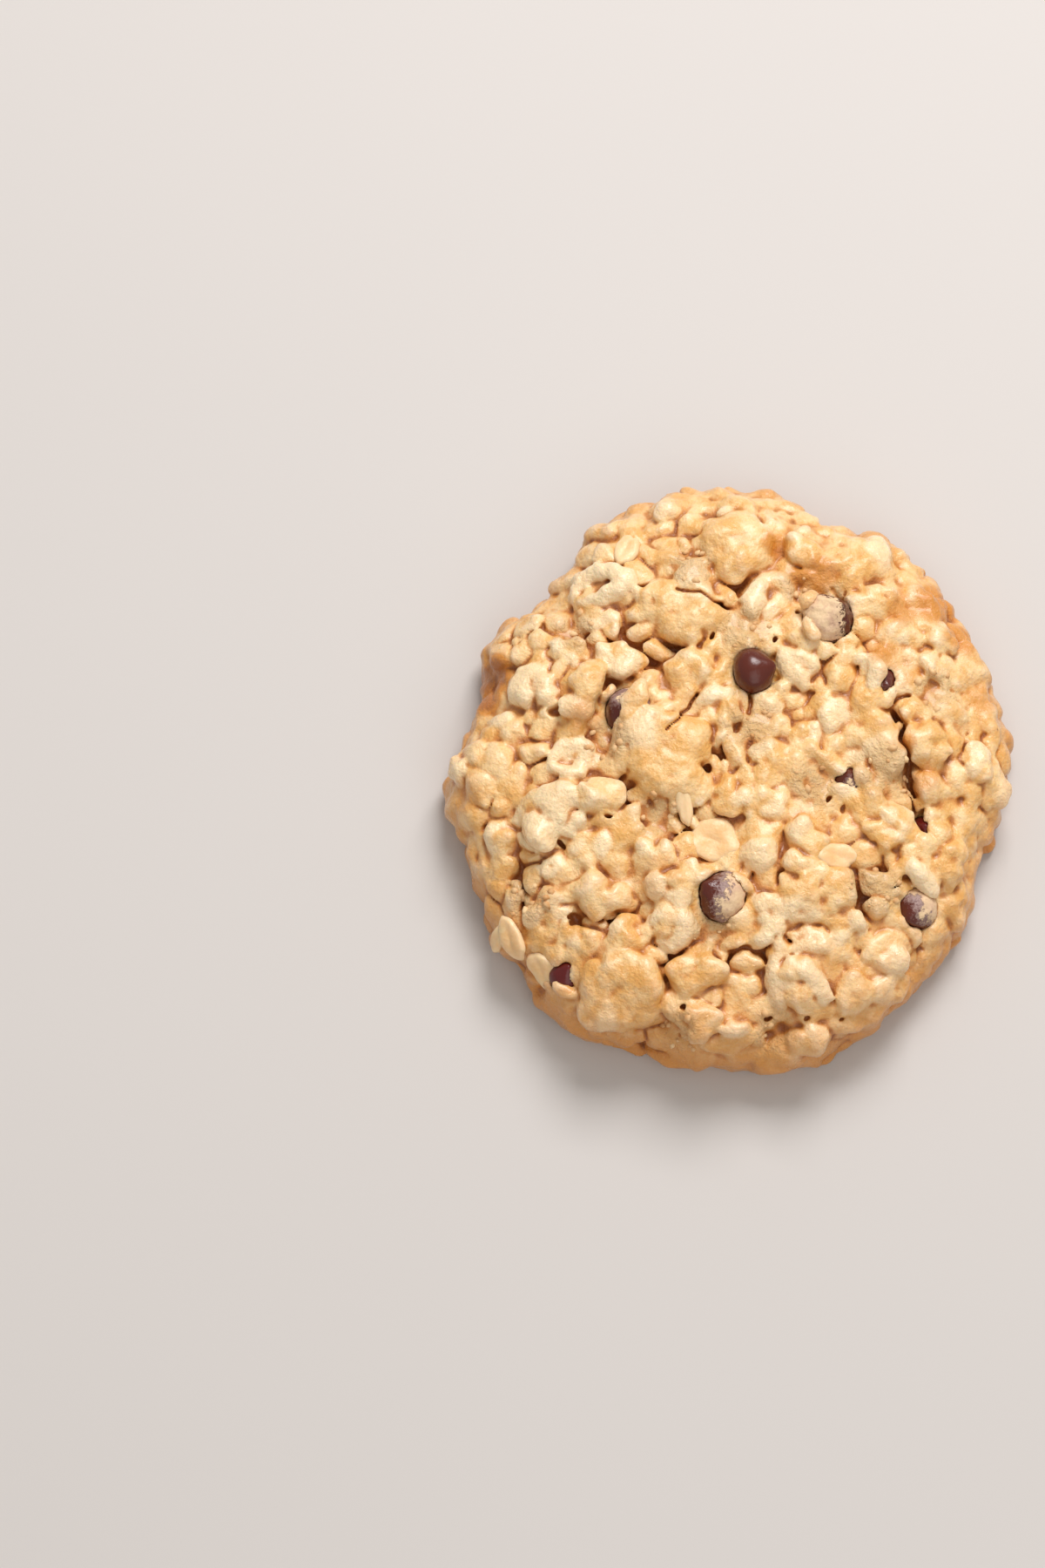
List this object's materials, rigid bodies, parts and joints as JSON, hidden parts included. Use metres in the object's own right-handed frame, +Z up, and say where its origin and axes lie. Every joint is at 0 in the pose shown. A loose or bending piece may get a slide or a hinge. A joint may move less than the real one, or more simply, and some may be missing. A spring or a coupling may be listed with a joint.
{
  "type": "oatmeal cookie",
  "caption": "Thick round baked cookie with a knobbly crust of rolled oats in dough, chocolate chips set in its crown, and a flat underside.",
  "frame": {"origin": "middle of the flat underside", "axes": "+Z up out of the crown, +Y away from the side that faces the viewer in the picture, +X to the picture's right"},
  "size_m": [0.0972, 0.1052, 0.0227],
  "materials": {
    "baked_dough": "golden baked oat dough with a slight sheen",
    "chocolate": "milk chocolate with a soft gloss"
  },
  "bodies": {
    "root": {"cookie": "baked_dough", "chip_bare": "chocolate", "chip_left": "chocolate", "chip_upper_right": "chocolate", "chip_under_curl": "chocolate", "chip_front": "chocolate", "chip_front_right": "chocolate", "chip_buried": "chocolate", "chip_in_gap": "chocolate", "chip_by_oat": "chocolate"}
  },
  "joints": []
}
